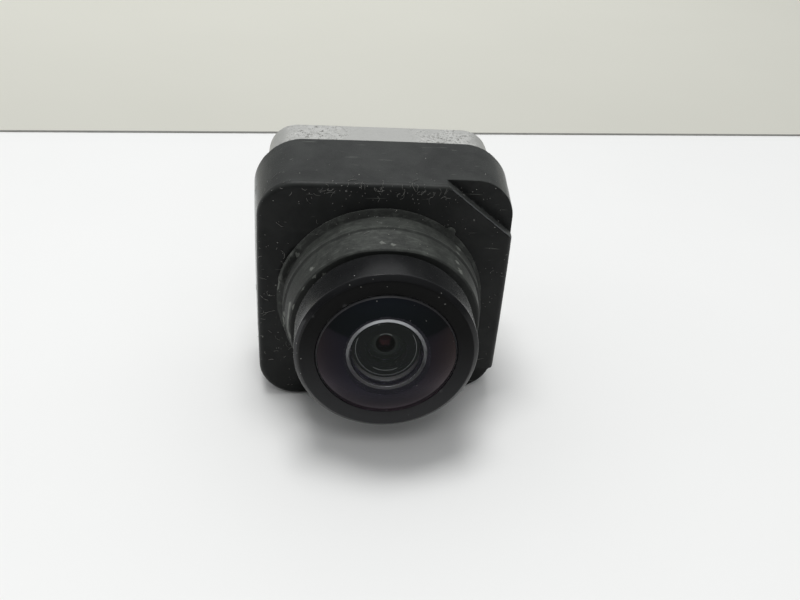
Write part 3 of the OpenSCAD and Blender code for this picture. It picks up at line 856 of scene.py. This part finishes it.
def glass_outline():
    rim = DOME_MIDDLE + math.sqrt(DOME_R ** 2 - GLASS_R ** 2)
    dome = arc(DOME_MIDDLE, DOME_R, 0, GLASS_R - 0.11, 80)
    bevel = [(GLASS_R - 0.08, rim + 0.02), (GLASS_R - 0.04, rim - 0.02), (GLASS_R, rim - 0.12)]
    flange = [(GLASS_R, LIP_BACK), (FLANGE_R, LIP_BACK), (FLANGE_R, GLASS_BACK)]
    return dome + bevel + flange + arc(HOLLOW_MIDDLE, HOLLOW_R, MOUTH, 0, 50)


def disc_outline(r, back, front, front_r, clear, back_r=None, hollow=None):
    """A lens element: a flat rim, a convex front, and a hollow in its back if it has one."""
    points = [(r, back), (r, front)]
    points += arc(middle_behind(front, front_r, clear), front_r, clear, 0, 30)
    if back_r is None:
        return points + [(0, back)]
    return points + arc(middle_behind(back, back_r, hollow), back_r, 0, hollow, 24)


def ring_outline(outer, inner, back, front, edge=0.05):
    return soften([(outer, back, edge), (outer, front, edge), (inner, front, edge), (inner, back, edge)])


def tube(path, radius):
    """Closed five-sided tube along some points: vertices and faces."""
    verts, faces = [], []
    for i, p in enumerate(path):
        ahead = (path[min(i + 1, len(path) - 1)] - path[max(i - 1, 0)]).normalized()
        side = ahead.orthogonal().normalized()
        other = ahead.cross(side)
        thin = radius * (0.4 if i in (0, len(path) - 1) else 1)
        for k in range(5):
            a = 2 * math.pi * k / 5
            verts.append(p + thin * (math.cos(a) * side + math.sin(a) * other))
    for i in range(len(path) - 1):
        for k in range(5):
            m = (k + 1) % 5
            faces.append([5 * i + k, 5 * i + m, 5 * i + 5 + m, 5 * i + 5 + k])
    last = 5 * (len(path) - 1)
    return verts, faces + [[4, 3, 2, 1, 0], [last + k for k in range(5)]]


def build_front_glass():
    glass = place(lathe("fisheye_front_glass", glass_outline(), 240, 0.3), "front_glass",
                  FINISH["coated_glass"], GLASS_EDGE, DARK_GLASS, HOLLOW_GLASS, GROUND_GLASS)
    clear, edge, dark, hollow, ground = range(5)
    for face in glass.data.polygons:
        middle = face.center / MM
        r = math.hypot(middle.x, middle.z)
        off_clear = math.hypot(middle.x - CLEAR_X, middle.z - CLEAR_Z) > CLEAR_R
        on_dome = math.hypot(r, -middle.y - DOME_MIDDLE) > DOME_R - 0.02
        in_front = -middle.y > CAP_REACH
        if GLASS_R - 0.12 < r < GLASS_R - 0.01 and in_front:
            face.material_index = ground
        elif on_dome or r > GLASS_R - 0.2 and in_front:
            face.material_index = dark if off_clear else clear
        else:
            face.material_index = edge if r > BLACKEN_FROM else hollow


def forward_at(r, front, front_r, clear):
    """How far forward an element's convex front reaches at a radius."""
    return middle_behind(front, front_r, clear) + math.sqrt(front_r ** 2 - r ** 2)


def build_glints():
    """Painted highlights of the edges turned into the stops, as thin glowing arcs: (radius, forward, first
    and last angle).
    """
    second = SECOND_FRONT, SECOND_FRONT_R, SECOND_CLEAR
    third = THIRD_FRONT, BULGE_R, BULGE_CLEAR
    round_pupil = PUPIL_R + 0.03
    arcs = ((2.5, forward_at(2.5, *second), -205, 35), (1.9, forward_at(1.9, *second), -122, -58),
            (round_pupil, forward_at(round_pupil, *third), 55, 125))
    parts = []
    for radius, level, start, end in arcs:
        path = [Vector((radius * math.cos(a), -level - 0.01, radius * math.sin(a)))
                for a in np.radians(np.linspace(start, end, 60))]
        parts.append(tube(path, 0.027))
    add_piece("painted_glint_arcs", parts, GLINT_ARC_PAINT)


def build_lens():
    place(lathe("rubber_seal", seal_outline(), 360, 0.12, shape=seal_shape), "barrel_seal")
    place(lathe("glass_retaining_cap", cap_outline(), 360, 0.25), "lens_retainer_cap")
    build_front_glass()
    place(lathe("bright_spacer", ring_outline(ELEMENT_R, MOUTH, SECOND_FRONT, GLASS_BACK - 0.01), 240),
          "silver_spacer_ring")
    outline = disc_outline(ELEMENT_R, SECOND_BACK, SECOND_FRONT, SECOND_FRONT_R, SECOND_CLEAR,
                           2.2, CLEAR_BORE)
    second = place(lathe("second_element", outline), "second_lens", SECOND_GLASS, SECOND_BLACK_PAINTED_GLOW)
    for face in second.data.polygons:
        if math.hypot(face.center.x, face.center.z) > CLEAR_BORE * MM:
            face.material_index = 1
    place(lathe("black_spacer", ring_outline(ELEMENT_R, CLEAR_BORE + 0.05, SHOULDER, SECOND_BACK)),
          "black_spacer_ring", SPACER_BLACK)
    place(lathe("third_element", disc_outline(THIRD_R, STOP, THIRD_FRONT, BULGE_R, BULGE_CLEAR)),
          "third_lens", PUPIL_GLASS)
    build_glints()
    place(lathe("iris_disc", ring_outline(THIRD_R, 0.95, STOP - 0.15, STOP, 0.02)), "aperture_stop")


# -------- rear cover and socket

def cover_field(x, y, z):
    zb = z - RISE
    half = COVER_W / 2
    inside = half - 1.25
    body = both(plate(x, zb, half, half, 3.0), y - COVER_BACK, 0.35)
    body = both(body, COVER_FRONT - y, 0.15)
    pocket = np.maximum(plate(x, zb, inside, inside, 1.75), slab(y, COVER_FRONT - 1, COVER_BACK - ROOF))
    posts = four(x, zb, SCREW_PITCH, POST_R)
    stands = np.maximum(rod(np.abs(zb), x, STAND_PITCH, 0, STAND_R), 9.6 - y)
    bosses = np.maximum(rod(np.abs(x), zb, EAR_PITCH, 0, 1.5), COVER_BACK - ROOF - 1.8 - y)
    chip_pad = np.maximum(plate(x + 4.6, zb - 4.6, 2.3, 2.3, 0.1), 11.3 - y)
    keep = np.minimum(np.minimum(posts, stands), np.minimum(bosses, chip_pad))
    body = cut(body, cut(pocket, keep), 0.1)
    body = bore(body, four(x, zb, SCREW_PITCH, 1.05))
    body = cut(body, np.maximum(four(x, zb, SCREW_PITCH, 1.85), COVER_BACK - SCREW_SINK - y), 0.12)
    body = cut(body, np.maximum(rod(x, zb, 0, 0, 5.6), COVER_BACK - 0.7 - y), 0.1)
    body = bore(body, rod(x, zb, 0, 0, 4.6))
    body = bore(body, np.maximum(rod(np.abs(x), zb, EAR_PITCH, 0, 0.77), 12.9 - y))
    body = cut(body, np.maximum(rod(x, zb, VENT_X, VENT_Z, 1.7), COVER_BACK - 0.4 - y), 0.1)
    body = bore(body, rod(x, zb, VENT_X, VENT_Z, 0.6))
    return body + 0.010 * ripple(x, y, z, 1.3, 9)


def header_field(x, y, z):
    zb = z - RISE
    ears = both(plate(x, zb, EAR_PITCH + 2, 2, 2), slab(y, COVER_BACK, FLANGE_BACK), 0.15)
    flange = both(plate(x, zb, 6.7, 6, 1.6), slab(y, COVER_BACK, FLANGE_BACK), 0.2)
    body = np.minimum(ears, flange)
    spigot = np.maximum(rod(x, zb, 0, 0, 4.55), slab(y, COVER_BACK - ROOF, COVER_BACK + 0.1))
    body = np.minimum(body, spigot)
    half = SHROUD_W / 2
    shroud = both(plate(x, zb, half, half, 1.2), slab(y, FLANGE_BACK - 1, SHROUD_BACK), 0.2)
    body = either(body, shroud, 0.4)
    rib = plate(np.abs(x) - 2.6, zb - half - 0.3, 0.5, 0.4, 0.15)
    rib = both(rib, slab(y, FLANGE_BACK - 0.2, FLANGE_BACK + 6), 0.15)
    catch = plate(x, zb + half + 0.25, 1.5, 0.35, 0.1)
    catch = both(catch, slab(y, FLANGE_BACK + 3.4, FLANGE_BACK + 5.4), 0.12)
    body = np.minimum(np.minimum(body, rib), catch)
    mouth = np.maximum(plate(x, zb, SHROUD_IN / 2, SHROUD_IN / 2, 0.6), FLANGE_BACK + 0.9 - y)
    body = cut(body, mouth, 0.15)
    body = bore(body, rod(x, zb, 0, 0, 2.95))
    return bore(body, rod(np.abs(x), zb, EAR_PITCH, 0, 0.85))


def screw_field(middle, shank, head, seat, length, head_h, drive):
    """One screw along Y with a six-lobed drive in its head."""
    def field(x, y, z):
        u, w = x - middle[0], z - middle[1]
        around = np.hypot(u, w)
        lobes = drive * (1 + 0.16 * np.cos(6 * np.arctan2(w, u)))
        body = both(around - head, slab(y, seat, seat + head_h), 0.18)
        body = np.minimum(body, both(around - shank, slab(y, seat - length, seat + 0.2), 0.15))
        return cut(body, np.maximum(around - lobes, seat + head_h * 0.4 - y), 0.04)
    return field


def build_screws(name, node, middles, shank, head, seat, length, head_h, drive):
    """Screws of one node, joined as one piece."""
    parts = []
    reach = head + 0.12
    for middle in middles:
        field = screw_field(middle, shank, head, seat, length, head_h, drive)
        grid = [
            lines((middle[0] - reach, 0.075), (middle[0] + reach, 0)),
            lines((seat - length - 0.15, 0.3), (seat - 0.2, 0.08), (seat + head_h + 0.15, 0)),
            lines((middle[1] - reach, 0.075), (middle[1] + reach, 0)),
        ]
        parts.append(grid_mesh(name, field, grid))
    with bpy.context.temp_override(active_object=parts[0], selected_editable_objects=parts):
        bpy.ops.object.join()
    place(parts[0], node)


def build_rear():
    w = COVER_W / 2 + 0.2
    side = lines((-w, 0.12), (-w + 1.2, 0.2), (w - 1.2, 0.12), (w, 0))
    depth = lines((COVER_FRONT - 0.2, 0.12), (COVER_FRONT + 0.4, 0.2), (COVER_BACK - 1.6, 0.14),
                  (COVER_BACK + 0.2, 0))
    cover = grid_mesh("cast_rear_cover", cover_field, [side, depth, side + RISE])
    place(cover, "rear_cover")
    grid = [lines((-9.6, 0.13), (9.6, 0)),
            lines((COVER_BACK - ROOF - 0.2, 0.13), (SHROUD_BACK + 0.2, 0)),
            lines((RISE - 6.3, 0.13), (RISE + 6.3, 0))]
    place(grid_mesh("cable_socket", header_field, grid), "connector_header")
    corners = [(x * SCREW_PITCH, RISE + z * SCREW_PITCH) for x in (-1, 1) for z in (-1, 1)]
    build_screws("corner_screws", "cover_screws", corners, shank=0.95, head=1.7,
                 seat=COVER_BACK - SCREW_SINK, length=COVER_BACK - 5, head_h=1.2, drive=0.85)
    ears = [(-EAR_PITCH, RISE), (EAR_PITCH, RISE)]
    build_screws("socket_screws", "connector_screws", ears, shank=0.75, head=1.35,
                 seat=FLANGE_BACK, length=3.8, head_h=1.0, drive=0.7)


# -------- dust and lint

class Skin:
    """The outer surface of some pieces, to lay dust on."""

    def __init__(self, *objects):
        verts, faces = [], []
        for obj in objects:
            start = len(verts)
            verts += [v.co / MM for v in obj.data.vertices]
            faces += [[start + i for i in p.vertices] for p in obj.data.polygons]
        self.tree = BVHTree.FromPolygons(verts, faces)

    def land(self, point):
        """Nearest place on the surface, and the direction out of it."""
        spot, normal, _, _ = self.tree.find_nearest(Vector(point))
        return spot, normal

    def drop(self, x, z):
        """Where a particle flying in from the front, a little from above, lands."""
        way = Vector((0, 0.9, -0.43)).normalized()
        start = Vector((x, 0, z)) - way * 60
        spot, normal, _, _ = self.tree.ray_cast(start, way)
        return spot, normal


def flake(spot, normal, radius, rng):
    """Small flat crumb lying on a surface."""
    side = normal.orthogonal().normalized()
    other = normal.cross(side)
    ring = [radius * rng.uniform(0.6, 1.2) for _ in range(6)]
    verts = [spot + normal * radius * 0.5, spot - normal * 0.02]
    for k, r in enumerate(ring):
        a = math.pi * k / 3
        verts.append(spot + r * (math.cos(a) * side + math.sin(a) * other) + normal * 0.01)
    faces = []
    for k in range(6):
        m = (k + 1) % 6
        faces += [[0, 2 + k, 2 + m], [1, 2 + m, 2 + k]]
    return verts, faces


def strew(name, clusters, skin, make):
    """One piece of many bits: clusters are (count, x, z, spread_x, spread_z)."""
    rng = np.random.default_rng(27)
    parts = []
    for count, x, z, spread_x, spread_z in clusters:
        for _ in range(count):
            spot, normal = skin.drop(x + rng.normal() * spread_x, z + rng.normal() * spread_z)
            if spot is not None and normal.y <= 0.2:
                parts.append(make(spot, normal, skin, rng))
    add_piece(name, parts, LINT)


def one_fibre(spot, normal, skin, rng):
    length, n = 0.2 + 1.1 * rng.random() ** 2, 7
    heading = normal.orthogonal().normalized()
    heading.rotate(Quaternion(normal, rng.uniform(0, 2 * math.pi)))
    curl = rng.uniform(-0.4, 0.4)
    path = []
    for _ in range(n):
        spot, normal = skin.land(spot + heading * length / n)
        path.append(spot + normal * 0.03)
        heading.rotate(Quaternion(normal, curl + rng.normal() * 0.3))
        heading = (heading - normal * heading.dot(normal)).normalized()
    return tube(path, rng.uniform(0.012, 0.024))


def one_flake(spot, normal, skin, rng):
    return flake(spot, normal, rng.uniform(0.025, 0.07) * (2 if rng.random() < 0.08 else 1), rng)


def build_flash():
    """The ragged line of moulding flash along the upper recess's step, light in colour as a painted highlight
    of the edge.
    """
    start = Vector((KEY_INNER[0], 0, KEY_INNER[1] + RISE))
    end = Vector((KEY_OUTER[0], 0, KEY_OUTER[1] + RISE))
    rng = np.random.default_rng(5)
    path = []
    for t in np.linspace(0.06, 0.97, 40):
        spot = start + (end - start) * t
        path.append(Vector((spot.x, -0.01 + 0.03 * rng.random(), spot.z - 0.03 + 0.05 * rng.random())))
    add_piece("moulding_flash", [tube(path, 0.05)], FLASH_PAINTED_HIGHLIGHT)


def build_dust():
    dusty = ("moulded_housing", "rubber_seal", "glass_retaining_cap", "fisheye_front_glass")
    skin = Skin(*[bpy.data.objects[name] for name in dusty])
    strew("lint_fibres", [
        (34, -3, 12.2, 4, 0.45), (30, 3.0, 11.9, 2.6, 0.45), (5, -8, 10.5, 1.5, 1.5),
        (20, -11.3, -2, 0.4, 3.5), (12, -9.6, -6, 0.6, 1.2), (8, -9.2, 4.5, 0.5, 0.8),
        (6, 10.6, 0, 0.7, 4), (8, -5, 8.3, 2.5, 0.6),
    ], skin, one_fibre)
    strew("dust_flakes", [
        (60, -1, 11.9, 6, 0.7), (26, -11, 2, 0.7, 6), (22, 10.4, 3, 0.7, 5), (34, 0, 8.9, 4, 0.6),
        (14, -9, -5, 1, 2.5), (20, 0, 13.5, 7, 1.2), (9, 0, 1, 4, 4), (16, 6.5, 10.5, 2, 1.5),
        (26, 0, 3, 8, 7),
    ], skin, one_flake)
    build_flash()


build_housing()
build_lens()
build_rear()
build_dust()
for name, node in NODES.items():
    node.data.materials.clear()
    node.data.materials.append(FINISH[SLOT_OF[name]])


# -------- floor, light and camera

def stage_finish(name, dark, light, glow=0.0):
    """Nearly even paper."""
    f = Finish(name, Roughness=0.7, Specular_IOR_Level=0.2, Emission_Color=light, Emission_Strength=glow)
    f.paint(f.noise(0.02, 3), dark, light)
    return f.material


def build_floor():
    """A wide pale floor, with a duller sheet lying on it behind the object, its near edge a bit askew and its
    edge face given painted shade.
    """
    half, back, skew = 900, 69.8, 0.0766
    corners = [(-half, -700), (half, -700), (half, half), (-half, half)]
    near = make_mesh("floor", [(x, y, FLOOR_Z) for x, y in corners], [[0, 1, 2, 3]])
    near.data.materials.append(stage_finish("pale_floor", (0.81, 0.81, 0.80), (0.85, 0.85, 0.84)))
    corners = [(-half, back - skew * half), (half, back + skew * half), (half, half - 1), (-half, half - 1)]
    verts = [(x, y, z) for z in (FLOOR_Z + 0.01, FLOOR_Z + 0.35) for x, y in corners]
    front_edge = 2
    faces = [[0, 3, 2, 1], [4, 5, 6, 7], [0, 1, 5, 4], [1, 2, 6, 5], [2, 3, 7, 6], [3, 0, 4, 7]]
    far = make_mesh("back_sheet", verts, faces)
    far.data.materials.append(stage_finish("dull_sheet", (0.74, 0.735, 0.66), (0.78, 0.775, 0.70), 0.06))
    # Painted shade on the sheet's near edge face.
    far.data.materials.append(stage_finish("sheet_edge_painted_shade", (0.3, 0.3, 0.28), (0.36, 0.36, 0.34)))
    far.data.polygons[front_edge].material_index = 1


def area_light(name, spot, width, height, power):
    """A soft box at a place in metres, aimed at the origin."""
    data = bpy.data.lights.new(name, "AREA")
    data.shape = "RECTANGLE"
    data.size, data.size_y = width, height
    data.energy = power
    obj = bpy.data.objects.new(name, data)
    obj.location = spot
    obj.rotation_euler = (-Vector(spot)).to_track_quat("-Z", "Y").to_euler()
    bpy.context.scene.collection.objects.link(obj)
    return obj


def build_world():
    """An even room, brighter above and behind the object."""
    world = bpy.data.worlds.new("room")
    world.use_nodes = True
    tree = world.node_tree
    coords = tree.nodes.new("ShaderNodeTexCoord")
    toward = tree.nodes.new("ShaderNodeVectorMath")
    toward.operation = "DOT_PRODUCT"
    toward.inputs[1].default_value = (0.0, 0.55, 0.83)
    tree.links.new(coords.outputs["Generated"], toward.inputs[0])
    ramp = tree.nodes.new("ShaderNodeMapRange")
    for i, value in enumerate((-0.1, 0.9, 0.17, 0.64), 1):
        ramp.inputs[i].default_value = value
    tree.links.new(toward.outputs["Value"], ramp.inputs[0])
    tree.links.new(ramp.outputs[0], tree.nodes["Background"].inputs["Strength"])
    tree.nodes["Background"].inputs["Color"].default_value = (0.97, 0.99, 1.0, 1)
    bpy.context.scene.world = world


def build_camera():
    """The photograph's viewpoint, fitted to the housing's edges and the lens's circles."""
    spot = Vector((-6.542, -74.588, 48.077))
    yaw, pitch, roll = 0.1109992, 0.5666302, 0.0777413
    rotation = Euler((math.pi / 2 - pitch, 0, -yaw)).to_matrix() @ Matrix.Rotation(roll, 3, "Z")
    data = bpy.data.cameras.new("viewpoint")
    data.sensor_width = 36
    data.lens = 41.17
    data.clip_start = 0.005
    data.clip_end = 10
    camera = bpy.data.objects.new("viewpoint", data)
    camera.matrix_world = Matrix.Translation(spot * MM) @ rotation.to_4x4()
    bpy.context.scene.collection.objects.link(camera)
    bpy.context.scene.camera = camera


build_floor()
area_light("ceiling", (-0.04, 0.055, 0.50), 0.22, 0.15, 1.4)
area_light("back_window", (-0.02, 0.42, 0.29), 0.34, 0.2, 0.09)
area_light("left_fill", (-0.40, 0.05, 0.16), 0.3, 0.3, 0.14)
front_fill = area_light("front_fill", (0.02, -0.26, 0.42), 0.16, 0.16, 0.3)
front_fill.visible_glossy = False
build_world()
build_camera()
bpy.context.scene.view_settings.view_transform = "Standard"
